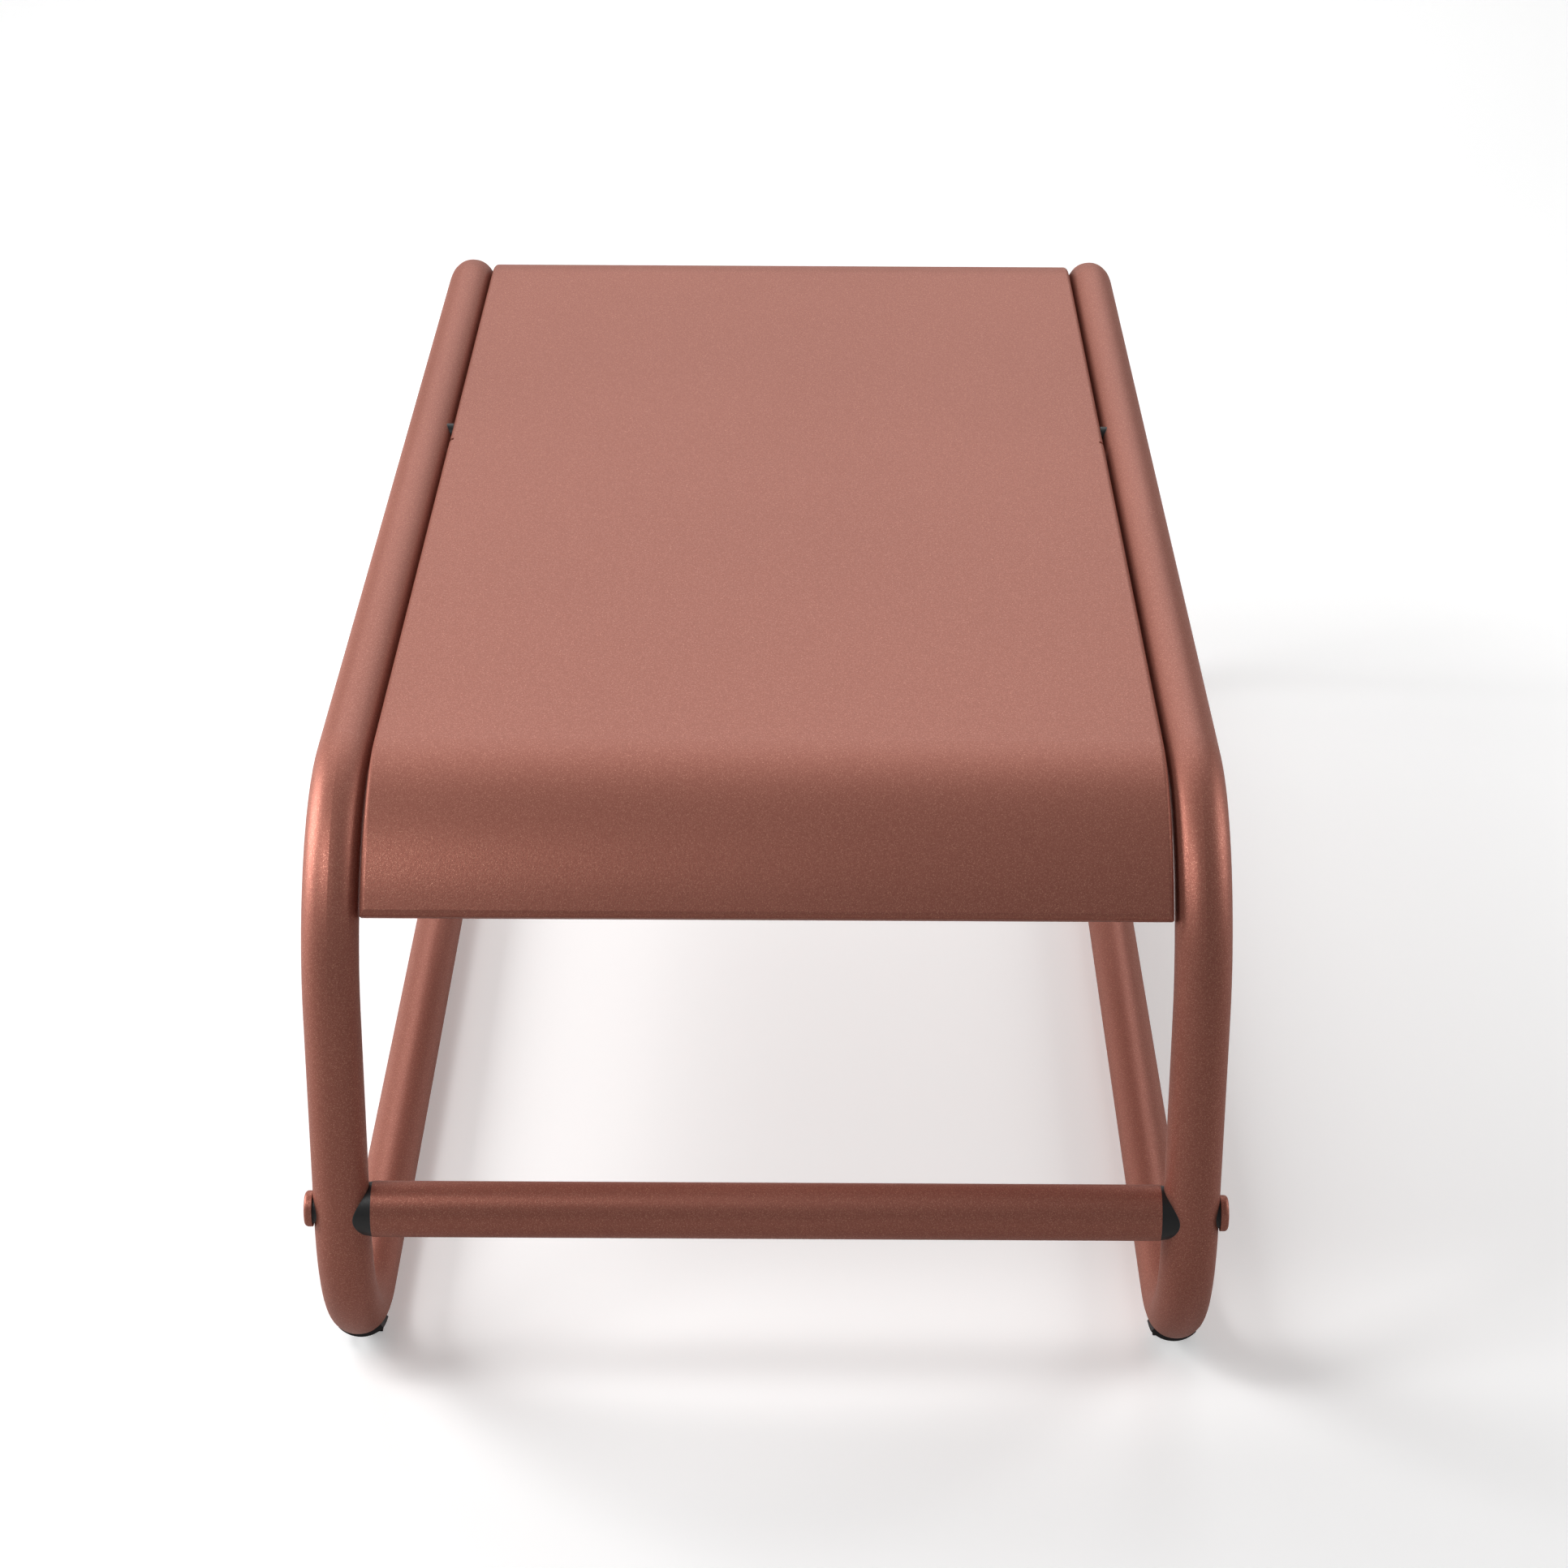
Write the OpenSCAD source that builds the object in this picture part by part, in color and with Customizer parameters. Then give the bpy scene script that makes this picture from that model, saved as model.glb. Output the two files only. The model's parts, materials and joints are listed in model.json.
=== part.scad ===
// Sun lounger: two bent tube loops carry a sheet-metal bed whose back part reclines.
// X runs across the bed, +Y towards the head, +Z up. The origin is on the floor,
// under the middle of the lounger. All sizes are in millimetres.

/* [Side loops] */
// Outer diameter of the loop tube
tube_d = 42; // [38:1:45]
// Wall thickness of the loop tube
tube_wall = 1.5; // [1.2:0.1:2.5]
// Distance between the centre lines of the two loops
loop_spacing = 634; // [600:2:700]
// Length of a loop between the centre lines of its front and rear legs
loop_length = 1454; // [1400:2:1600]
// Height of a loop between the centre lines of its ground rail and its top rail
loop_height = 455; // [430:5:480]
// Centre-line radius of the four bends
bend_r = 140; // [130:1:150]

/* [Bed] */
// Thickness of the sheet
sheet_t = 2; // [1.5:0.5:2.5]
// How far the sheet lies below the top of the tubes
bed_drop = 4.5; // [4:0.5:6]
// Gap between the bed's side walls and the tubes
side_gap = 1.5; // [1.5:0.5:3]
// Height of the turned-down side walls
wall_h = 16; // [14:1:18]
// Outer radius of the folded long edges
edge_r = 4; // [3.5:0.5:6]
// Angle over which each end of the bed rolls down
roll_angle = 59; // [50:1:65]
// Outer radius of the hem at the end of each roll
hem_r = 5; // [4:0.5:6]
// Length of the strip that the hem turns under
hem_return = 12; // [8:1:16]

/* [Recline] */
// Place of the joint between the seat and the back, ahead of the middle
seam_y = 80; // [60:5:90]
// Width of that joint
seam_gap = 1.5; // [1.5:0.1:2]
// How much lower the back lies than the seat, which hides the joint from the foot end
seam_step = 0.6; // [0.4:0.1:1]
// Distance of the hinge axis behind the joint
hinge_back = 45; // [40:1:50]
// Depth of the hinge axis below the surface of the bed
hinge_depth = 12; // [11:0.5:13]
// Length of the prop stay between its pivot and its foot
stay_length = 200; // [190:5:200]
// Downward slope of the racks towards the head
rack_slope = 5; // [4:0.5:6]

/* [Lower cross tubes] */
// Outer diameter of a lower cross tube
cross_d = 42; // [38:0.5:42]
// Height of the lower cross tubes above the ground rails
cross_h = 149; // [140:1:170]
// Diameter of a bolt cap
cap_d = 27; // [24:1:30]

/* [Glides] */
// Height of the glides below the ground rails
glide_t = 5; // [4:0.5:7]

/* [Hidden] */
$fn = 96;

// Colours
paint = [0.62, 0.38, 0.33];
plastic = [0.08, 0.085, 0.09];
steel = [0.62, 0.63, 0.65];
brass = [0.72, 0.6, 0.32];
rubber = [0.05, 0.05, 0.05];

// Main places
tube_r = tube_d / 2;
loop_x = loop_spacing / 2;
leg_y = loop_length / 2;
bend_y = leg_y - bend_r;
ground_z = glide_t + tube_r;
rail_z = ground_z + loop_height;
top_bend_z = rail_z - bend_r;
low_bend_z = ground_z + bend_r;
cross_z = ground_z + cross_h;

// Bed
bed_z = rail_z + tube_r - bed_drop;
bed_x = loop_x - tube_r - side_gap;
roll_r = bed_z - top_bend_z;
under_z = bed_z - sheet_t;
back_under_z = under_z - seam_step;
wall_relief = 6;
seat_rib_far = 32;
back_rib_near = 4;
back_rib_far = 24;

// Recline
hinge_y = seam_y + hinge_back;
hinge_z = bed_z - hinge_depth;
stay_pivot_y = hinge_y + stay_length * cos(rack_slope);
stay_pivot_z = hinge_z - stay_length * sin(rack_slope);
stay_foot_y = hinge_y + 2 * stay_length * cos(rack_slope);
stay_foot_z = hinge_z - 2 * stay_length * sin(rack_slope);

// Bearers: flat rectangular tubes under the bed
bearer_w = 30;
bearer_h = 15;
bearer_wall = 1.5;
bearer_z = rail_z - 10;
front_bearer_y = -540;
middle_bearer_y = -235;
hinge_bearer_y = 28;
head_bearer_y = stay_foot_y + 48;
block_x = 200;
block_w = 28;
block_l = 20;
screw_d = 6;
screw_hole_d = 6.6;
pad_x = 180;
pad_d = 26;
pad_gap = 0.3;

// Cap bolts and what they hold
bolt_d = 8;
bolt_hole_d = 8.6;
bolt_end = 52;
cap_in = tube_r + 0.4;
cap_t = 6;
washer_d = 22;
cross_end = tube_r + 2.2;
saddle_d = cross_d - 1;
saddle_tip_d = saddle_d - 0.28 * cross_end;
cross_wall = 1.5;
plug_gap = 0.05;
plug_d = cross_d - 2 * cross_wall - 2 * plug_gap;
plug_len = 18;
insert_len = 22;
socket_d = 6;
socket_depth = 3.5;

// Hinge hardware
hinge_plate_t = 5;
hinge_ear_d = 26;
hinge_plate_x = bed_x - sheet_t - hinge_plate_t;
bush_d = 14;
bush_flange_d = 20;
bush_flange_t = 1;
shoulder_d = 10;
hinge_head_d = 18;
hinge_head_t = 5;
hinge_thread_d = 8;
insert_d = 11;
run_gap = 0.05;
face_gap = 0.3;

// Prop stay
stay_rod_d = 12;
stay_leg_d = 10.5;
stay_leg_x = 250;
stay_eye_d = 20;
stay_eye_w = 11;
stay_pin_d = 8;
ear_t = 3;
ear_gap = 0.5;
sleeve_d = 16;
sleeve_in = 270;
sleeve_out = 285;

// Racks, with a notch for each of these angles of the back
rack_angles = [0, 20, 32, 42, 51, 60];
rack_x = 276;
rack_t = 4;
rack_clear = 0.8;
rack_depth = 24;
notch_drop = 6;
notch_gap = 0.3;
rack_front = stay_length - 22;
rack_rear = 2 * stay_length + 14;
boss_d = 14;
boss_drop = 40;
boss_z = rail_z - 13;
boss_front_y = hinge_y + stay_length - 26;
boss_rear_y = stay_foot_y + 17;
rack_screw_d = 5;

// Glides
glide_wrap = 46;
glide_wrap_t = 3.5;
glide_wrap_start = 12;
glide_wrap_end = 25;
glide_pad_w = 26;
glide_pad_front = 35;
glide_pad_rear = -13;
glide_pad_h = ground_z - 10;
glide_screw_d = 4;
glide_screw_y = -26;

// ---------- helpers ----------

// A cylinder along X from x = a to x = b
module x_rod(d, a, b, y, z) {
    translate([a, y, z])
        rotate([0, 90, 0])
            cylinder(d = d, h = b - a);
}

// Draws its children on the left (-1) or right (+1) side; they are written for the right
module side(s) {
    mirror([s < 0 ? 1 : 0, 0, 0])
        children();
}

// Draws its children at the foot end (-1) or the head end (+1); they are written for the head
module end(e) {
    mirror([0, e < 0 ? 1 : 0, 0])
        children();
}

// A quarter bend of a round bar about the X direction, from +Y turning up to +Z
module quarter(d, start, sweep) {
    rotate([start, 0, 0])
        rotate([0, 90, 0])
            rotate([0, 0, 90])
                rotate_extrude(angle = sweep)
                    translate([bend_r, 0])
                        circle(d = d);
}

// The round volume of a whole loop at diameter d, on the right side
module loop_solid(d) {
    for (z = [ground_z, rail_z])
        translate([loop_x, -bend_y, z])
            rotate([-90, 0, 0])
                cylinder(d = d, h = 2 * bend_y);
    for (y = [-leg_y, leg_y])
        translate([loop_x, y, low_bend_z])
            cylinder(d = d, h = top_bend_z - low_bend_z);
    for (b = [[1, top_bend_z, 0], [-1, top_bend_z, 90], [-1, low_bend_z, 180], [1, low_bend_z, 270]])
        translate([loop_x, b[0] * bend_y, b[1]])
            quarter(d, b[2], 90);
}

// ---------- side loops ----------

module side_loop(s) {
    color(paint)
        side(s)
            difference() {
                loop_solid(tube_d);
                loop_solid(tube_d - 2 * tube_wall);
                // cap bolts pass through both walls of the legs
                for (y = [-leg_y, leg_y])
                    x_rod(bolt_hole_d, loop_x - tube_d, loop_x + tube_d, y, cross_z);
                // hinge insert in the inner wall
                x_rod(insert_d, loop_x - tube_d, loop_x, hinge_y, hinge_z);
                // rack screws in the inner wall
                for (y = [boss_front_y, boss_rear_y])
                    x_rod(rack_screw_d, loop_x - tube_d, loop_x, y, boss_z);
                // glide screws from below
                for (e = [-1, 1])
                    translate([loop_x, e * (bend_y - glide_screw_y), 0])
                        cylinder(d = glide_screw_d, h = ground_z);
            }
}

// ---------- lower cross tubes ----------

module cross_tube(e) {
    color(paint)
        difference() {
            x_rod(cross_d, -loop_x + cross_end, loop_x - cross_end, e * leg_y, cross_z);
            x_rod(cross_d - 2 * cross_wall, -loop_x, loop_x, e * leg_y, cross_z);
        }
}

// Black end piece: a coped collar that narrows towards the leg, and a plug inside the cross tube
module saddle(s, e) {
    inner = loop_x - cross_end;
    color(plastic)
        side(s)
            difference() {
                union() {
                    translate([inner, e * leg_y, cross_z])
                        rotate([0, 90, 0])
                            cylinder(d1 = saddle_d, d2 = saddle_tip_d, h = cross_end);
                    x_rod(plug_d, inner - plug_len, inner + 1, e * leg_y, cross_z);
                }
                translate([loop_x, e * leg_y, low_bend_z - tube_d])
                    cylinder(d = tube_d, h = loop_height);
                x_rod(bolt_hole_d, 0, loop_x, e * leg_y, cross_z);
            }
}

// Threaded insert that sits in the cross tube, behind the saddle's plug
module cross_tube_inserts() {
    out = loop_x - cross_end - plug_len;
    color(steel)
        for (s = [-1, 1])
            for (e = [-1, 1])
                side(s)
                    difference() {
                        x_rod(plug_d, out - insert_len, out, e * leg_y, cross_z);
                        x_rod(bolt_d + 2 * run_gap, 0, loop_x, e * leg_y, cross_z);
                    }
}

// Bolts with a flat round cap and a hexagon socket
module cap_bolts() {
    dome_r = 3;
    color(paint)
        for (s = [-1, 1])
            for (e = [-1, 1])
                side(s)
                    translate([loop_x, e * leg_y, cross_z])
                        rotate([0, 90, 0])
                            difference() {
                                rotate_extrude()
                                    union() {
                                        translate([0, -bolt_end])
                                            square([bolt_d / 2, bolt_end + cap_in]);
                                        translate([0, cap_in])
                                            square([cap_d / 2, cap_t - dome_r]);
                                        translate([0, cap_in])
                                            square([cap_d / 2 - dome_r, cap_t]);
                                        translate([cap_d / 2 - dome_r, cap_in + cap_t - dome_r])
                                            circle(r = dome_r);
                                    }
                                translate([0, 0, cap_in + cap_t - socket_depth])
                                    cylinder(d = socket_d, h = socket_depth + 1, $fn = 6);
                            }
}

// Black washers, hollowed to sit on the round leg
module cap_washers() {
    color(plastic)
        for (s = [-1, 1])
            for (e = [-1, 1])
                side(s)
                    difference() {
                        x_rod(washer_d, loop_x + tube_r - 4, loop_x + cap_in, e * leg_y, cross_z);
                        translate([loop_x, e * leg_y, low_bend_z - tube_d])
                            cylinder(d = tube_d, h = loop_height);
                        x_rod(bolt_hole_d, loop_x, loop_x + tube_d, e * leg_y, cross_z);
                    }
}

// ---------- bearers ----------

// A flat tube between the top rails, its ends hollowed to fit the round rails
module bearer(y, screw_x) {
    color(paint)
        difference() {
            translate([-loop_x, y - bearer_w / 2, bearer_z - bearer_h / 2])
                cube([2 * loop_x, bearer_w, bearer_h]);
            translate([-loop_x - 1, y - bearer_w / 2 + bearer_wall, bearer_z - bearer_h / 2 + bearer_wall])
                cube([2 * loop_x + 2, bearer_w - 2 * bearer_wall, bearer_h - 2 * bearer_wall]);
            for (s = [-1, 1])
                translate([s * loop_x, y - bearer_w, rail_z])
                    rotate([-90, 0, 0])
                        cylinder(d = tube_d, h = 2 * bearer_w);
            for (x = screw_x)
                translate([x, y, bearer_z - bearer_h])
                    cylinder(d = screw_hole_d, h = 2 * bearer_h);
        }
}

// ---------- bed ----------

// Half of the bed's cross-section, as distance inwards from the surface (Y) against X
module bed_half_section() {
    inner_r = edge_r - sheet_t;
    difference() {
        union() {
            translate([0, -sheet_t])
                square([bed_x - edge_r, sheet_t]);
            translate([bed_x - sheet_t, -wall_h])
                square([sheet_t, wall_h - edge_r]);
            intersection() {
                translate([bed_x - edge_r, -edge_r])
                    circle(r = edge_r);
                translate([bed_x - edge_r, -edge_r])
                    square(edge_r);
            }
        }
        translate([bed_x - edge_r, -edge_r])
            circle(r = inner_r);
    }
}

module bed_section() {
    bed_half_section();
    mirror([1, 0])
        bed_half_section();
}

// The plain sheet alone, without the side walls
module sheet_section() {
    translate([-bed_x + edge_r, -sheet_t])
        square([2 * (bed_x - edge_r), sheet_t]);
}

// A straight stretch of the bed from y = a to y = b
module flat_bed(a, b) {
    translate([0, b, bed_z])
        rotate([90, 0, 0])
            linear_extrude(height = b - a)
                children();
}

// Sweeps a section down about the bend's centre at the head end
module rolled() {
    translate([0, bend_y, top_bend_z])
        rotate([0, -90, 0])
            rotate_extrude(angle = roll_angle)
                translate([roll_r, 0])
                    rotate(-90)
                        children();
}

// Outline of the bed's cross-section at the hem: rounded at its two outer corners
module hem_outline(half, depth) {
    translate([-half, -depth])
        square([2 * half, depth - edge_r]);
    translate([-half + edge_r, -depth])
        square([2 * (half - edge_r), depth]);
    for (x = [-half + edge_r, half - edge_r])
        translate([x, -edge_r])
            circle(r = edge_r);
}

// The hem at the end of the roll: a small bend and a strip that turns under
module hem() {
    lead = 1;
    step = 0.05;
    half = bed_x - step;
    t = sheet_t - 2 * step;
    translate([0, bend_y, top_bend_z])
        rotate([-roll_angle, 0, 0])
            translate([0, 0, roll_r - step])
                intersection() {
                    translate([0, hem_r + 1, 0])
                        rotate([90, 0, 0])
                            linear_extrude(height = hem_r + 1 + lead)
                                hem_outline(half, hem_r + hem_return);
                    translate([-bed_x, 0, -hem_r])
                        union() {
                            translate([0, -lead, hem_r - t])
                                cube([2 * bed_x, lead, t]);
                            rotate([0, 90, 0])
                                rotate([0, 0, 90])
                                    difference() {
                                        intersection() {
                                            cylinder(r = hem_r, h = 2 * bed_x);
                                            cube([hem_r, hem_r, 2 * bed_x]);
                                        }
                                        translate([0, 0, -1])
                                            cylinder(r = hem_r - t, h = 2 * bed_x + 2);
                                    }
                            translate([0, hem_r - t, -hem_return])
                                cube([2 * bed_x, t, hem_return]);
                            // cheeks that close the two corners
                            for (x = [step, 2 * bed_x - step - t])
                                translate([x, -lead, hem_r - wall_h + 1])
                                    cube([t, lead + hem_r - 1, wall_h - 2]);
                        }
                }
}

// One rolled end of the bed, at the head end
module bed_end() {
    rolled()
        bed_section();
    hem();
}

module seat_pan() {
    color(paint)
        union() {
            flat_bed(-bend_y, seam_y - wall_relief)
                bed_section();
            flat_bed(seam_y - wall_relief, seam_y - seam_gap / 2)
                sheet_section();
            end(-1)
                bed_end();
        }
}

module back_pan() {
    color(paint)
        difference() {
            union() {
                translate([0, 0, -seam_step]) {
                    flat_bed(seam_y + seam_gap / 2, bend_y)
                        bed_section();
                    bed_end();
                }
                // ears that reach below the side walls around the hinge
                for (s = [-1, 1])
                    side(s)
                        intersection() {
                            x_rod(hinge_ear_d, bed_x - sheet_t, bed_x, hinge_y, hinge_z);
                            translate([0, 0, hinge_z - hinge_ear_d])
                                cube([loop_x, 2 * hinge_y, hinge_ear_d + hinge_depth - edge_r - seam_step]);
                        }
            }
            x_rod(bush_d, -loop_x, loop_x, hinge_y, hinge_z);
        }
}

// Stiffening strips under the two edges that meet at the joint
module edge_rib(y0, y1, top) {
    rib_h = 7;
    rib_x = hinge_plate_x - 14;
    color(paint)
        translate([-rib_x, y0, top - rib_h])
            cube([2 * rib_x, y1 - y0, rib_h]);
}

module seat_edge_rib() {
    edge_rib(seam_y - seat_rib_far, seam_y - wall_relief, under_z);
}

module back_edge_rib() {
    edge_rib(seam_y + back_rib_near, seam_y + back_rib_far, back_under_z);
}

// Threaded blocks welded under the seat pan; they stand on the bearers
module seat_blocks() {
    z0 = bearer_z + bearer_h / 2;
    color(steel)
        for (y = [front_bearer_y, middle_bearer_y, hinge_bearer_y])
            for (x = [-block_x, block_x])
                difference() {
                    translate([x - block_w / 2, y - block_l / 2, z0])
                        cube([block_w, block_l, under_z - z0]);
                    translate([x, y, z0 - 1])
                        cylinder(d = screw_d + 2 * run_gap, h = under_z - z0 - 1);
                }
}

module seat_screws() {
    z0 = bearer_z - bearer_h / 2;
    head_h = 3.5;
    color(steel)
        for (y = [front_bearer_y, middle_bearer_y, hinge_bearer_y])
            for (x = [-block_x, block_x])
                translate([x, y, z0]) {
                    translate([0, 0, -head_h])
                        difference() {
                            cylinder(d = 2 * screw_d, h = head_h);
                            translate([0, 0, -1])
                                cylinder(d = 4, h = 3, $fn = 6);
                        }
                    cylinder(d = screw_d, h = bearer_h + 10);
                }
}

// Rubber pads on the head bearer, on which the back lies when it is flat
module head_pads() {
    z0 = bearer_z + bearer_h / 2;
    color(rubber)
        for (x = [-pad_x, pad_x])
            translate([x, head_bearer_y, z0])
                cylinder(d = pad_d, h = back_under_z - z0 - pad_gap);
}

// ---------- hinge ----------

// Plate inside the back pan's side wall that carries the bush
module hinge_plate(s) {
    plate_top = back_under_z - edge_r + sheet_t;
    plate_d = 30;
    plate_l = 45;
    color(steel)
        side(s)
            difference() {
                union() {
                    translate([hinge_plate_x, hinge_y - plate_d / 2, hinge_z])
                        cube([hinge_plate_t, plate_l, plate_top - hinge_z]);
                    x_rod(plate_d, hinge_plate_x, hinge_plate_x + hinge_plate_t, hinge_y, hinge_z);
                }
                translate([hinge_plate_x - 1, hinge_y - plate_d, plate_top])
                    cube([hinge_plate_t + 2, 2 * plate_l, plate_d]);
                x_rod(bush_d, 0, loop_x, hinge_y, hinge_z);
            }
}

module hinge_bushes() {
    color(plastic)
        for (s = [-1, 1])
            side(s)
                difference() {
                    union() {
                        x_rod(bush_d, hinge_plate_x, bed_x, hinge_y, hinge_z);
                        x_rod(bush_flange_d, hinge_plate_x - bush_flange_t, hinge_plate_x, hinge_y, hinge_z);
                    }
                    x_rod(shoulder_d + 2 * run_gap, 0, loop_x, hinge_y, hinge_z);
                }
}

// Shoulder bolts, screwed from inside the bed into the rails
module hinge_bolts() {
    head_x = hinge_plate_x - bush_flange_t - face_gap;
    shoulder_x = bed_x + face_gap;
    color(steel)
        for (s = [-1, 1])
            side(s)
                difference() {
                    union() {
                        x_rod(hinge_head_d, head_x - hinge_head_t, head_x, hinge_y, hinge_z);
                        x_rod(shoulder_d, head_x, shoulder_x, hinge_y, hinge_z);
                        x_rod(hinge_thread_d, shoulder_x, loop_x - 4, hinge_y, hinge_z);
                    }
                    translate([head_x - hinge_head_t - 1, hinge_y, hinge_z])
                        rotate([0, 90, 0])
                            cylinder(d = socket_d, h = 1 + socket_depth, $fn = 6);
                }
}

// Spacers between the back pan and the rails, hollowed to sit on the round rail
module hinge_spacers() {
    color(plastic)
        for (s = [-1, 1])
            side(s)
                difference() {
                    x_rod(hinge_head_d, bed_x + face_gap, loop_x - 12, hinge_y, hinge_z);
                    translate([loop_x, hinge_y - bearer_w, rail_z])
                        rotate([-90, 0, 0])
                            cylinder(d = tube_d, h = 2 * bearer_w);
                    x_rod(insert_d, 0, loop_x, hinge_y, hinge_z);
                }
}

// Threaded inserts set in the inner walls of the rails
module hinge_inserts() {
    color(brass)
        for (s = [-1, 1])
            side(s)
                difference() {
                    x_rod(insert_d, bed_x + face_gap, loop_x - 4, hinge_y, hinge_z);
                    x_rod(hinge_thread_d + 2 * run_gap, 0, loop_x, hinge_y, hinge_z);
                }
}

// ---------- prop stay ----------

// Bracket under the back pan, with two ears around the stay's eye
module stay_bracket(s) {
    ear_in = stay_eye_w / 2 + ear_gap;
    ear_r = 9;
    base_t = 3;
    base_l = 44;
    base_w = 2 * (ear_in + ear_t) + 16;
    color(steel)
        side(s)
            difference() {
                union() {
                    translate([stay_leg_x - base_w / 2, stay_pivot_y - base_l / 2, back_under_z - base_t])
                        cube([base_w, base_l, base_t]);
                    for (x = [stay_leg_x - ear_in - ear_t, stay_leg_x + ear_in]) {
                        translate([x, stay_pivot_y - ear_r, stay_pivot_z])
                            cube([ear_t, 2 * ear_r, back_under_z - base_t - stay_pivot_z]);
                        x_rod(2 * ear_r, x, x + ear_t, stay_pivot_y, stay_pivot_z);
                    }
                }
                x_rod(stay_pin_d, 0, loop_x, stay_pivot_y, stay_pivot_z);
            }
}

module stay_pins() {
    half = stay_eye_w / 2 + ear_gap + ear_t;
    head_d = 13;
    head_t = 2.5;
    color(steel)
        for (s = [-1, 1])
            side(s) {
                x_rod(stay_pin_d, stay_leg_x - half, stay_leg_x + half, stay_pivot_y, stay_pivot_z);
                x_rod(head_d, stay_leg_x - half - head_t, stay_leg_x - half, stay_pivot_y, stay_pivot_z);
                x_rod(head_d, stay_leg_x + half, stay_leg_x + half + head_t, stay_pivot_y, stay_pivot_z);
            }
}

// U-shaped rod frame: two legs with eyes, and a foot bar across
module stay_frame() {
    color(steel)
        difference() {
            union() {
                for (s = [-1, 1])
                    side(s) {
                        x_rod(stay_eye_d, stay_leg_x - stay_eye_w / 2, stay_leg_x + stay_eye_w / 2,
                              stay_pivot_y, stay_pivot_z);
                        translate([stay_leg_x, stay_pivot_y, stay_pivot_z])
                            rotate([-90 - rack_slope, 0, 0])
                                cylinder(d = stay_leg_d, h = stay_length);
                    }
                x_rod(stay_rod_d, -sleeve_out, sleeve_out, stay_foot_y, stay_foot_z);
            }
            x_rod(stay_pin_d + 2 * run_gap, -loop_x, loop_x, stay_pivot_y, stay_pivot_z);
        }
}

module stay_sleeves() {
    color(plastic)
        for (s = [-1, 1])
            side(s)
                difference() {
                    x_rod(sleeve_d, sleeve_in, sleeve_out + 2, stay_foot_y, stay_foot_z);
                    x_rod(stay_rod_d, 0, sleeve_out, stay_foot_y, stay_foot_z);
                }
}

// ---------- racks ----------

// Draws its children in the frame of the racks: Y along the rack from the hinge axis, Z across
module rack_frame() {
    translate([0, hinge_y, hinge_z])
        rotate([-rack_slope, 0, 0])
            children();
}

module rack(s) {
    top = -sleeve_d / 2 - rack_clear;
    rail_flank = loop_x - 10;
    color(steel)
        side(s)
            difference() {
                union() {
                    rack_frame()
                        translate([rack_x, rack_front, top - rack_depth])
                            cube([rack_t, rack_rear - rack_front, rack_depth]);
                    for (y = [boss_front_y, boss_rear_y]) {
                        translate([rack_x, y - boss_d / 2, boss_z - boss_drop])
                            cube([rack_t, boss_d, boss_drop]);
                        x_rod(boss_d, rack_x, rail_flank, y, boss_z);
                    }
                }
                rack_frame()
                    for (a = rack_angles)
                        x_rod(sleeve_d + 2 * notch_gap, 0, loop_x, 2 * stay_length * cos(a), -notch_drop);
                rack_frame()
                    translate([0, 0, top - rack_depth - 2 * boss_drop])
                        cube([loop_x, 3 * stay_length, 2 * boss_drop]);
                translate([loop_x, 0, rail_z])
                    rotate([-90, 0, 0])
                        cylinder(d = tube_d, h = leg_y);
                for (y = [boss_front_y, boss_rear_y])
                    x_rod(rack_screw_d + 2 * run_gap, 0, loop_x, y, boss_z);
            }
}

module rack_screws() {
    head_t = 3;
    color(steel)
        for (s = [-1, 1])
            for (y = [boss_front_y, boss_rear_y])
                side(s)
                    difference() {
                        union() {
                            x_rod(2 * rack_screw_d, rack_x - head_t, rack_x, y, boss_z);
                            x_rod(rack_screw_d, rack_x, loop_x - 8, y, boss_z);
                        }
                        translate([rack_x - head_t - 1, y, boss_z])
                            rotate([0, 90, 0])
                                cylinder(d = 3.5, h = 3, $fn = 6);
                    }
}

// ---------- glides ----------

// Foot pad under the ground rail, with a shoe that wraps up round the bend
module glide(s, e) {
    color(plastic)
        side(s)
            end(e)
                difference() {
                    union() {
                        translate([loop_x - glide_pad_w / 2, bend_y - glide_pad_rear, 0])
                            cube([glide_pad_w, glide_pad_rear + glide_pad_front, glide_pad_h]);
                        translate([loop_x, bend_y, low_bend_z])
                            rotate([270 + glide_wrap_start, 0, 0])
                                rotate([0, 90, 0])
                                    rotate([0, 0, 90])
                                        rotate_extrude(angle = glide_wrap_end - glide_wrap_start)
                                            translate([bend_r, 0])
                                                glide_section();
                    }
                    intersection() {
                        loop_solid(tube_d);
                        translate([0, 0, -1])
                            cube([2 * loop_x, 2 * leg_y, 2 * low_bend_z]);
                    }
                    translate([loop_x, bend_y - glide_screw_y, -1])
                        cylinder(d = glide_screw_d + 2 * run_gap, h = ground_z);
                    translate([loop_x, bend_y - glide_screw_y, -1])
                        cylinder(d = 2 * glide_screw_d + 1, h = 3.5);
                }
}

// Sector around the outer side of the bend
module glide_section() {
    outer = tube_r + glide_wrap_t;
    intersection() {
        circle(r = outer);
        polygon([[0, 0], [2 * outer * cos(glide_wrap), 2 * outer * sin(glide_wrap)],
                 [3 * outer, 0], [2 * outer * cos(glide_wrap), -2 * outer * sin(glide_wrap)]]);
    }
}

module glide_screws() {
    head_z = 0.5;
    color(steel)
        for (s = [-1, 1])
            for (e = [-1, 1])
                side(s)
                    end(e)
                        translate([loop_x, bend_y - glide_screw_y, head_z]) {
                            cylinder(d = 2 * glide_screw_d, h = 2);
                            cylinder(d = glide_screw_d, h = 12);
                        }
}

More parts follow.
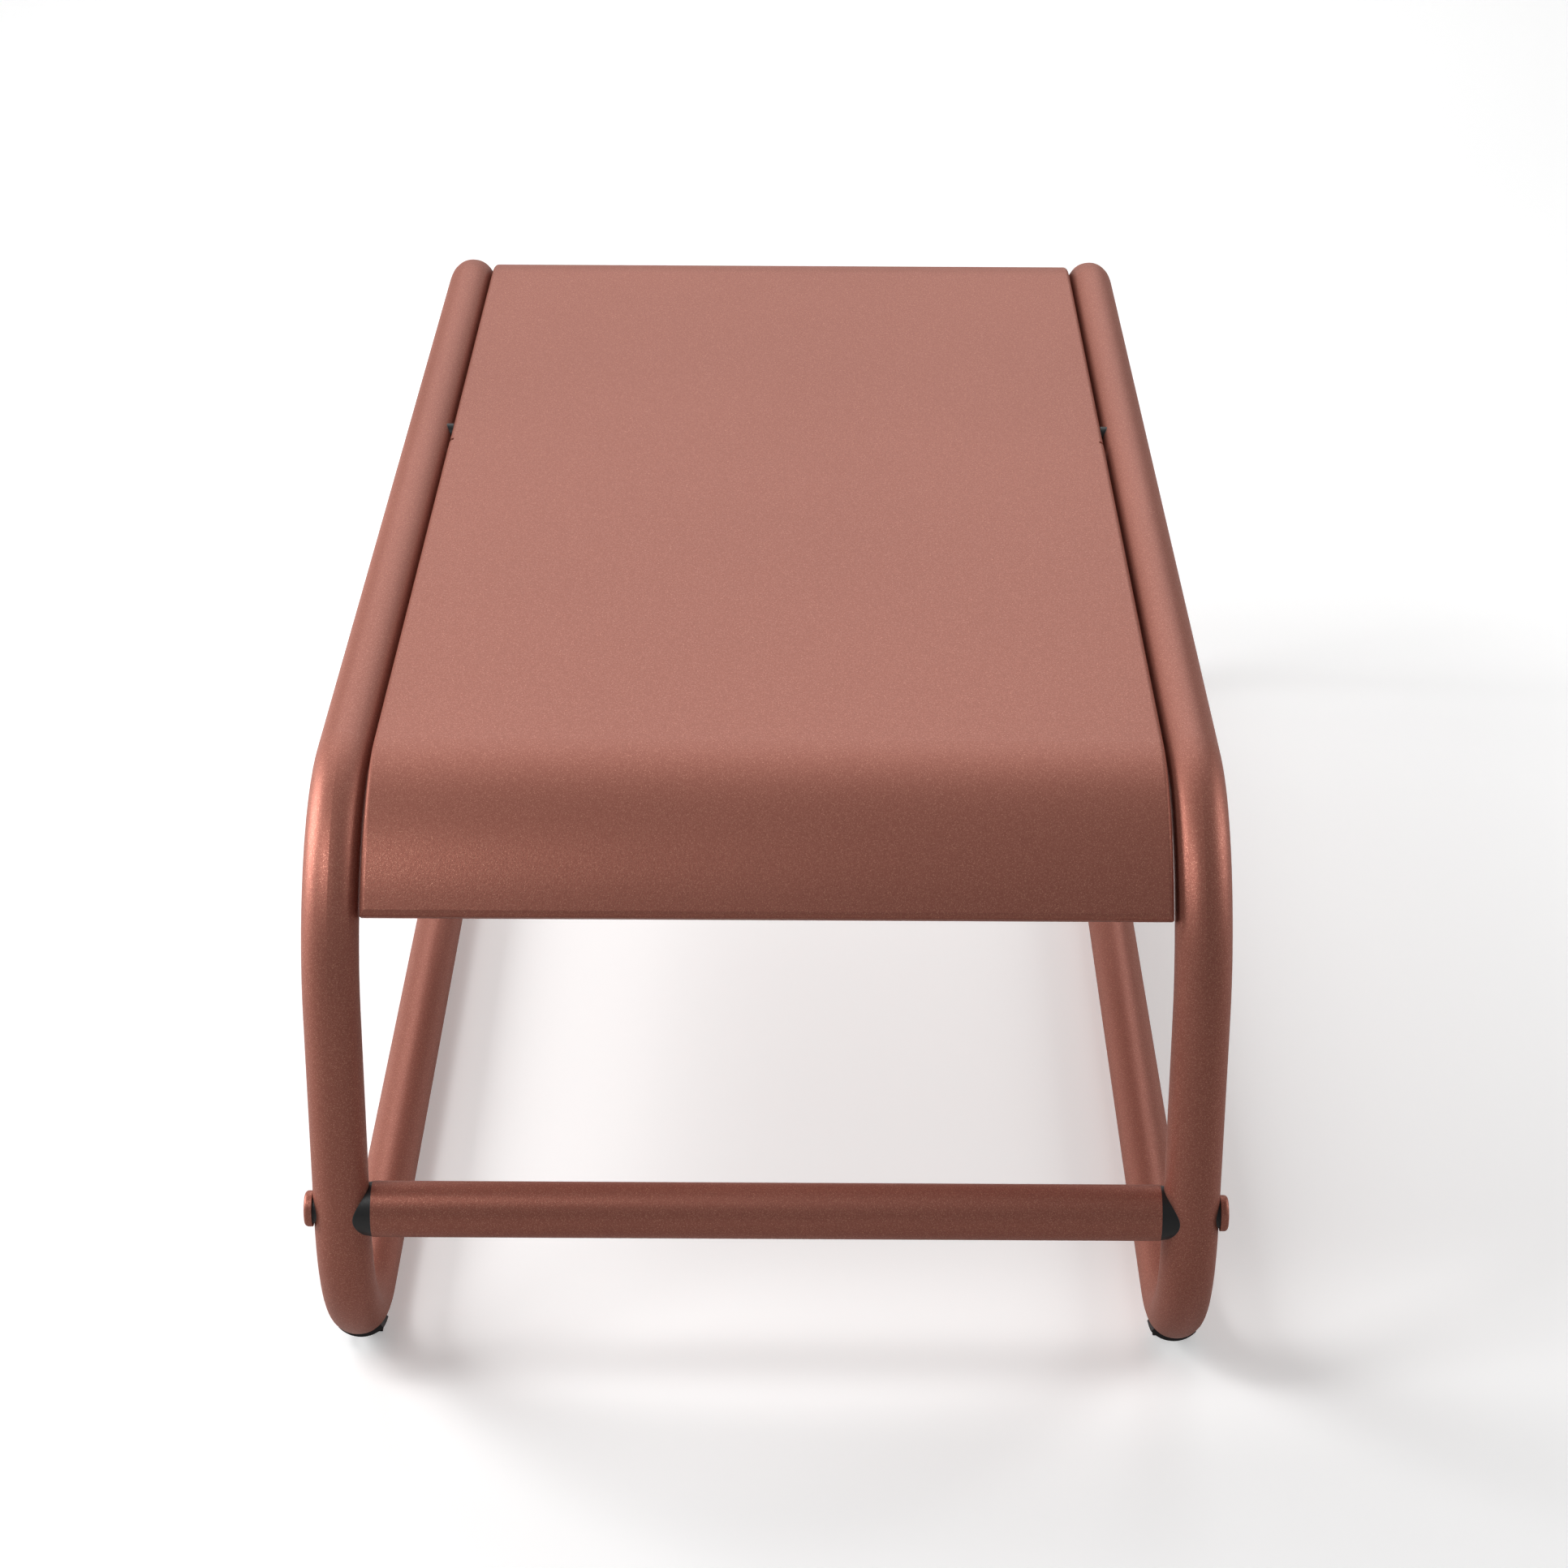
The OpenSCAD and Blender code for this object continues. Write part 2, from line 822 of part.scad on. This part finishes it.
side_loop(-1);  // side_loop_left
side_loop(1);  // side_loop_right
cross_tube(-1);  // front_cross_tube
cross_tube(1);  // rear_cross_tube
saddle(-1, -1);  // saddle_front_left
saddle(1, -1);  // saddle_front_right
saddle(-1, 1);  // saddle_rear_left
saddle(1, 1);  // saddle_rear_right
cap_bolts();
cap_washers();
cross_tube_inserts();
bearer(front_bearer_y, [-block_x, block_x]);  // front_bearer
bearer(middle_bearer_y, [-block_x, block_x]);  // middle_bearer
bearer(hinge_bearer_y, [-block_x, block_x]);  // hinge_bearer
bearer(head_bearer_y, []);  // head_bearer
seat_pan();
seat_edge_rib();
seat_blocks();
seat_screws();
back_pan();
back_edge_rib();
hinge_plate(-1);  // hinge_plate_left
hinge_plate(1);  // hinge_plate_right
hinge_bushes();
hinge_bolts();
hinge_spacers();
hinge_inserts();
head_pads();
stay_bracket(-1);  // stay_bracket_left
stay_bracket(1);  // stay_bracket_right
stay_pins();
stay_frame();
stay_sleeves();
rack(-1);  // rack_left
rack(1);  // rack_right
rack_screws();
glide(-1, -1);  // glide_front_left
glide(1, -1);  // glide_front_right
glide(-1, 1);  // glide_rear_left
glide(1, 1);  // glide_rear_right
glide_screws();
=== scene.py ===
import json
import math

import bmesh
import bpy
from mathutils import Matrix, Vector

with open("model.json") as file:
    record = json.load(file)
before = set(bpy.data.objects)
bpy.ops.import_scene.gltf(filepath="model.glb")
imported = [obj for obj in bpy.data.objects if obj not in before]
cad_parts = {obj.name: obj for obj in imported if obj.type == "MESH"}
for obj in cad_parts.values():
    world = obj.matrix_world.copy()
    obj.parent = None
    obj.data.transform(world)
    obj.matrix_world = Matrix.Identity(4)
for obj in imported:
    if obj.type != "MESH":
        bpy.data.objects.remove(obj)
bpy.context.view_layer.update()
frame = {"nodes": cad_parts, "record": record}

# ---------- driving numbers, in metres and degrees ----------

CAM_PITCH = 24.62         # looking down
CAM_ROLL = 0.30
CAM_AT = (0.0263, -3.2328, 1.6740)
CAM_LENS = 89.24
CAM_SHIFT = -0.0127       # sideways, as a part of the picture's width

# The floor: half its width, and the profile of the sweep behind
FLOOR_HALF = 9.0
SWEEP_BEND = 2.5
SWEEP_BACK = 7.0
SWEEP_TOP = 5.5
SWEEP_STEPS = 16
FLOOR_DROP = 0.0002       # keeps the floor just below the feet
FLOOR_SEEN = (0.96, 0.96, 0.96)
FLOOR_SHADE = (0.94, 0.94, 0.943)
# painted shade: the floor bounces only this darker colour onto the lounger, which darkens its fronts,
# while the camera sees FLOOR_SEEN
FLOOR_BOUNCE = (0.52, 0.51, 0.50)
# painted light: a glow that the floor gives to the camera only, which lifts the shadows that fall on
# it
FLOOR_GLOW = 0.22

WORLD_STRENGTH = 0.23
# name: place, target, size, second size, power in watts
SOFTBOXES = {
    "softbox_key": ((-0.5, 2.8, 3.4), (0, 0.2, 0.3), 4.5, 3.2, 44),
    "softbox_back": ((0, 4.8, 2.6), (0, 4.2, 0), 5.0, 1.6, 48),
    "softbox_left": ((-3.0, 0.3, 1.5), (0, -0.1, 0.3), 1.8, 1.6, 95),
    "softbox_right": ((3.0, 0.3, 1.5), (0, -0.1, 0.3), 1.8, 1.6, 34),
    "strip_left": ((-0.95, -1.35, 1.75), (-0.3, -0.7, 0.42), 0.5, 0.4, 9),
}

# Colours, linear
COAT_BASE = (0.420, 0.157, 0.116)
COAT_PALE = (0.460, 0.179, 0.135)
COAT_DEEP = (0.340, 0.121, 0.088)
COAT_FLAKE = (0.92, 0.47, 0.34)
PLASTIC = (0.012, 0.0125, 0.0135)
PLASTIC_WORN = (0.12, 0.12, 0.125)
RUBBER = (0.018, 0.018, 0.019)
RUBBER_DUST = (0.07, 0.068, 0.064)
ZINC = (0.50, 0.51, 0.52)
ZINC_PALE = (0.72, 0.73, 0.74)
BRASS = (0.68, 0.48, 0.2)
BRASS_DULL = (0.4, 0.27, 0.12)


# ---------- node helpers ----------

class Mat:
    """A node material with short calls for the nodes that are used here."""

    def __init__(self, name, color, metallic=0.0, roughness=0.5, ior=1.5):
        self.mat = bpy.data.materials.new(name)
        self.mat.use_nodes = True
        self.tree = self.mat.node_tree
        self.tree.nodes.clear()
        self.out = self.node("ShaderNodeOutputMaterial")
        self.bsdf = self.node("ShaderNodeBsdfPrincipled")
        self.link(self.bsdf.outputs["BSDF"], self.out.inputs["Surface"])
        self.bsdf.inputs["Base Color"].default_value = (*color, 1)
        self.bsdf.inputs["Metallic"].default_value = metallic
        self.bsdf.inputs["Roughness"].default_value = roughness
        self.bsdf.inputs["IOR"].default_value = ior
        self.mat.diffuse_color = (*color, 1)
        self.coords = self.node("ShaderNodeTexCoord").outputs["Object"]

    def node(self, kind, **settings):
        n = self.tree.nodes.new(kind)
        for key, value in settings.items():
            setattr(n, key, value)
        return n

    def link(self, a, b):
        self.tree.links.new(a, b)

    def noise(self, scale, detail=3.0, rough=0.5, stretch=(1, 1, 1)):
        """Noise from 0 to 1 in object space; scale is in cycles per metre."""
        mapping = self.node("ShaderNodeMapping")
        mapping.inputs["Scale"].default_value = stretch
        self.link(self.coords, mapping.inputs["Vector"])
        tex = self.node("ShaderNodeTexNoise")
        tex.inputs["Scale"].default_value = scale
        tex.inputs["Detail"].default_value = detail
        tex.inputs["Roughness"].default_value = rough
        self.link(mapping.outputs["Vector"], tex.inputs["Vector"])
        return tex.outputs["Fac"]

    def cells(self, scale):
        """Cell pattern: distance from the nearest point, and a random colour for each cell."""
        tex = self.node("ShaderNodeTexVoronoi")
        tex.inputs["Scale"].default_value = scale
        self.link(self.coords, tex.inputs["Vector"])
        return tex.outputs["Distance"], tex.outputs["Color"]

    def ramp(self, value, stops):
        """Colour ramp over (position, colour or grey level) stops."""
        n = self.node("ShaderNodeValToRGB")
        while len(n.color_ramp.elements) < len(stops):
            n.color_ramp.elements.new(0.5)
        for element, (at, color) in zip(n.color_ramp.elements, stops):
            element.position = at
            if not hasattr(color, "__len__"):
                color = (color,) * 3
            element.color = (*color, 1)
        self.link(value, n.inputs["Fac"])
        return n.outputs["Color"]

    def mix(self, factor, a, b):
        n = self.node("ShaderNodeMix", data_type="RGBA")
        for socket, value in ((0, factor), (6, a), (7, b)):
            if isinstance(value, bpy.types.NodeSocket):
                self.link(value, n.inputs[socket])
            elif hasattr(value, "__len__"):
                n.inputs[socket].default_value = (*value, 1)
            else:
                n.inputs[socket].default_value = value
        return n.outputs[2]

    def math(self, op, a, b=0.0):
        n = self.node("ShaderNodeMath", operation=op)
        for i, value in enumerate((a, b)):
            if isinstance(value, bpy.types.NodeSocket):
                self.link(value, n.inputs[i])
            else:
                n.inputs[i].default_value = value
        return n.outputs[0]

    def span(self, value, low, high):
        """Brings a value from 0..1 to low..high."""
        n = self.node("ShaderNodeMapRange")
        n.inputs["To Min"].default_value = low
        n.inputs["To Max"].default_value = high
        self.link(value, n.inputs["Value"])
        return n.outputs["Result"]

    def edges(self, reach=0.0015):
        """1 on sharp convex edges, 0 elsewhere, from a bevelled normal against the true one."""
        bevel = self.node("ShaderNodeBevel")
        bevel.samples = 6
        bevel.inputs["Radius"].default_value = reach
        geometry = self.node("ShaderNodeNewGeometry")
        dot = self.node("ShaderNodeVectorMath", operation="DOT_PRODUCT")
        self.link(bevel.outputs["Normal"], dot.inputs[0])
        self.link(geometry.outputs["Normal"], dot.inputs[1])
        n = self.node("ShaderNodeMapRange")
        n.inputs["From Min"].default_value = 0.995
        n.inputs["From Max"].default_value = 0.9
        self.link(dot.outputs["Value"], n.inputs["Value"])
        return n.outputs["Result"]

    def bump(self, *layers):
        """Bump layers of (height, distance in metres, strength), one over the other."""
        normal = None
        for height, distance, strength in layers:
            n = self.node("ShaderNodeBump")
            n.inputs["Distance"].default_value = distance
            n.inputs["Strength"].default_value = strength
            self.link(height, n.inputs["Height"])
            if normal:
                self.link(normal, n.inputs["Normal"])
            normal = n.outputs["Normal"]
        self.link(normal, self.bsdf.inputs["Normal"])

    def set(self, socket, value):
        self.link(value, self.bsdf.inputs[socket])


# ---------- materials ----------

def powder_coat(name, base, pale, deep):
    """Fine-texture metallic powder coat: an even satin colour with a sandy grain and small flakes."""
    m = Mat(name, base, metallic=0.50, roughness=0.45, ior=1.18)
    cloud = m.noise(2.4, 2.0, 0.45)
    grain = m.noise(640, 3.0, 0.65)
    flake_edge, flake_tint = m.cells(2000)
    shift = m.mix(m.ramp(cloud, [(0.3, 0.0), (0.7, 1.0)]), deep, pale)
    tone = m.mix(0.35, base, shift)
    tone = m.mix(m.ramp(grain, [(0.38, 0.55), (0.58, 0.0)]), tone, deep)
    flakes = m.ramp(flake_tint, [(0.66, 0.0), (0.95, 1.0)])
    tone = m.mix(m.math("MULTIPLY", flakes, 0.45), tone, COAT_FLAKE)
    worn = m.math("MULTIPLY", m.edges(0.0012), m.ramp(m.noise(26), [(0.45, 0.0), (0.75, 0.30)]))
    m.set("Base Color", m.mix(worn, tone, pale))
    rough = m.math("ADD", m.span(grain, 0.38, 0.54), m.math("MULTIPLY", flakes, -0.14))
    m.set("Roughness", m.math("ADD", rough, m.span(cloud, -0.02, 0.02)))
    m.bump((grain, 0.0002, 0.7), (flake_edge, 0.00006, 0.4))
    return m.mat


def moulded_plastic(name, color, roughness=0.48):
    m = Mat(name, color, roughness=roughness)
    grain = m.noise(900, 3.0, 0.6)
    flow = m.noise(40, 3.0, 0.5, stretch=(1, 1, 3))
    pale = tuple(min(1, c * 1.9 + 0.012) for c in color)
    tone = m.mix(m.span(flow, 0.0, 0.35), color, pale)
    worn = m.math("MULTIPLY", m.edges(0.0008), 0.35)
    m.set("Base Color", m.mix(worn, tone, PLASTIC_WORN))
    m.set("Roughness", m.span(grain, roughness - 0.08, roughness + 0.10))
    m.bump((grain, 0.00008, 0.4), (flow, 0.0002, 0.12))
    return m.mat


def rubber(name):
    m = Mat(name, RUBBER, roughness=0.75)
    grain = m.noise(600, 4.0, 0.6)
    dust = m.noise(60, 4.0, 0.6)
    tone = m.mix(m.ramp(dust, [(0.45, 0.0), (0.8, 0.5)]), RUBBER, RUBBER_DUST)
    m.set("Base Color", tone)
    m.set("Roughness", m.span(grain, 0.66, 0.85))
    m.bump((grain, 0.0001, 0.5))
    return m.mat


def plated_steel(name, base, pale, stretch):
    """Zinc-plated steel with faint rolling marks along one direction."""
    m = Mat(name, base, metallic=1.0, roughness=0.38)
    lines = m.noise(420, 4.0, 0.6, stretch=stretch)
    spangle_edge, spangle = m.cells(190)
    haze = m.noise(22, 4.0, 0.6)
    tone = m.mix(m.ramp(spangle, [(0.1, 0.0), (0.9, 0.35)]), base, pale)
    tone = m.mix(m.ramp(haze, [(0.42, 0.0), (0.72, 0.4)]), tone, tuple(c * 0.62 for c in base))
    m.set("Base Color", m.mix(m.math("MULTIPLY", m.edges(0.0008), 0.5), tone, pale))
    m.set("Roughness", m.math("ADD", m.span(lines, 0.27, 0.46), m.span(haze, -0.04, 0.06)))
    m.bump((lines, 0.00006, 0.4), (spangle_edge, 0.00003, 0.15))
    return m.mat


def brass(name):
    m = Mat(name, BRASS, metallic=1.0, roughness=0.3)
    rings = m.noise(700, 3.0, 0.5, stretch=(6, 1, 1))
    haze = m.noise(60, 4.0, 0.6)
    m.set("Base Color", m.mix(m.ramp(haze, [(0.4, 0.0), (0.75, 0.6)]), BRASS, BRASS_DULL))
    m.set("Roughness", m.span(rings, 0.22, 0.42))
    m.bump((rings, 0.00005, 0.5))
    return m.mat


MATERIALS = {
    "loop_paint": powder_coat("loop_paint", COAT_BASE, COAT_PALE, COAT_DEEP),
    "bed_paint": powder_coat("bed_paint", COAT_BASE, COAT_PALE, COAT_DEEP),
    "black_plastic": moulded_plastic("black_plastic", PLASTIC),
    "steel": plated_steel("steel", ZINC, ZINC_PALE, (1, 7, 7)),
    "brass": brass("brass"),
    "rubber": rubber("rubber"),
}

SLOT_OF = {row["node"]: row["material_slot"] for row in frame["record"]["subparts"]}
for name, node in frame["nodes"].items():
    node.data.materials.clear()
    node.data.materials.append(MATERIALS[SLOT_OF[name]])
    for face in node.data.polygons:
        face.material_index = 0


# ---------- studio ----------

def floor():
    """A pale sweep: a flat floor that curves up into a backdrop far behind. To the camera it also
    glows, painted light that lifts the shadows on it; to other rays it is a darker grey, painted
    shade on the lounger's fronts.
    """
    bm = bmesh.new()
    start = SWEEP_BACK - SWEEP_BEND
    profile = [(-FLOOR_HALF, 0.0), (start, 0.0)]
    for i in range(1, SWEEP_STEPS + 1):
        a = math.radians(90 * i / SWEEP_STEPS)
        profile.append((start + SWEEP_BEND * math.sin(a), SWEEP_BEND - SWEEP_BEND * math.cos(a)))
    profile.append((SWEEP_BACK, SWEEP_TOP))
    rows = []
    for y, z in profile:
        rows.append([bm.verts.new((x, y, z - FLOOR_DROP)) for x in (-FLOOR_HALF, FLOOR_HALF)])
    for a, b in zip(rows, rows[1:]):
        bm.faces.new((a[0], a[1], b[1], b[0]))
    mesh = bpy.data.meshes.new("studio_floor")
    bm.to_mesh(mesh)
    bm.free()
    for face in mesh.polygons:
        face.use_smooth = True
    obj = bpy.data.objects.new("studio_floor", mesh)
    bpy.context.scene.collection.objects.link(obj)
    m = Mat("studio_floor", FLOOR_SEEN, roughness=0.9)
    shade = m.noise(1.4, 2.0)
    seen = m.mix(m.span(shade, 0.0, 0.3), FLOOR_SEEN, FLOOR_SHADE)
    # painted light and shade: the camera sees the pale floor with a glow that lifts its shadows,
    # while other rays see the darker FLOOR_BOUNCE, which darkens the lounger's fronts
    camera_ray = m.node("ShaderNodeLightPath").outputs["Is Camera Ray"]
    m.set("Base Color", m.mix(camera_ray, FLOOR_BOUNCE, seen))
    m.bsdf.inputs["Emission Color"].default_value = (1, 1, 1, 1)
    m.set("Emission Strength", m.math("MULTIPLY", camera_ray, FLOOR_GLOW))
    mesh.materials.append(m.mat)


def softbox(name, at, target, size, size_y, power):
    data = bpy.data.lights.new(name, "AREA")
    data.energy = power
    data.shape = "RECTANGLE"
    data.size = size
    data.size_y = size_y
    obj = bpy.data.objects.new(name, data)
    obj.location = at
    obj.rotation_euler = (Vector(target) - Vector(at)).to_track_quat("-Z", "Y").to_euler()
    bpy.context.scene.collection.objects.link(obj)


def studio():
    floor()
    world = bpy.data.worlds.new("studio")
    world.use_nodes = True
    background = world.node_tree.nodes["Background"]
    background.inputs["Color"].default_value = (1, 1, 1, 1)
    background.inputs["Strength"].default_value = WORLD_STRENGTH
    bpy.context.scene.world = world
    for name, values in SOFTBOXES.items():
        softbox(name, *values)


def camera():
    """Looks along +Y, pitched down, with the small roll of the view."""
    data = bpy.data.cameras.new("camera")
    data.sensor_width = 36.0
    data.lens = CAM_LENS
    data.shift_x = CAM_SHIFT
    data.clip_end = 60
    obj = bpy.data.objects.new("camera", data)
    pitch = Matrix.Rotation(math.radians(90 - CAM_PITCH), 4, "X")
    roll = Matrix.Rotation(math.radians(CAM_ROLL), 4, "Z")
    obj.matrix_world = Matrix.Translation(CAM_AT) @ pitch @ roll
    bpy.context.scene.collection.objects.link(obj)
    bpy.context.scene.camera = obj


studio()
camera()
bpy.context.scene.view_settings.view_transform = "Standard"
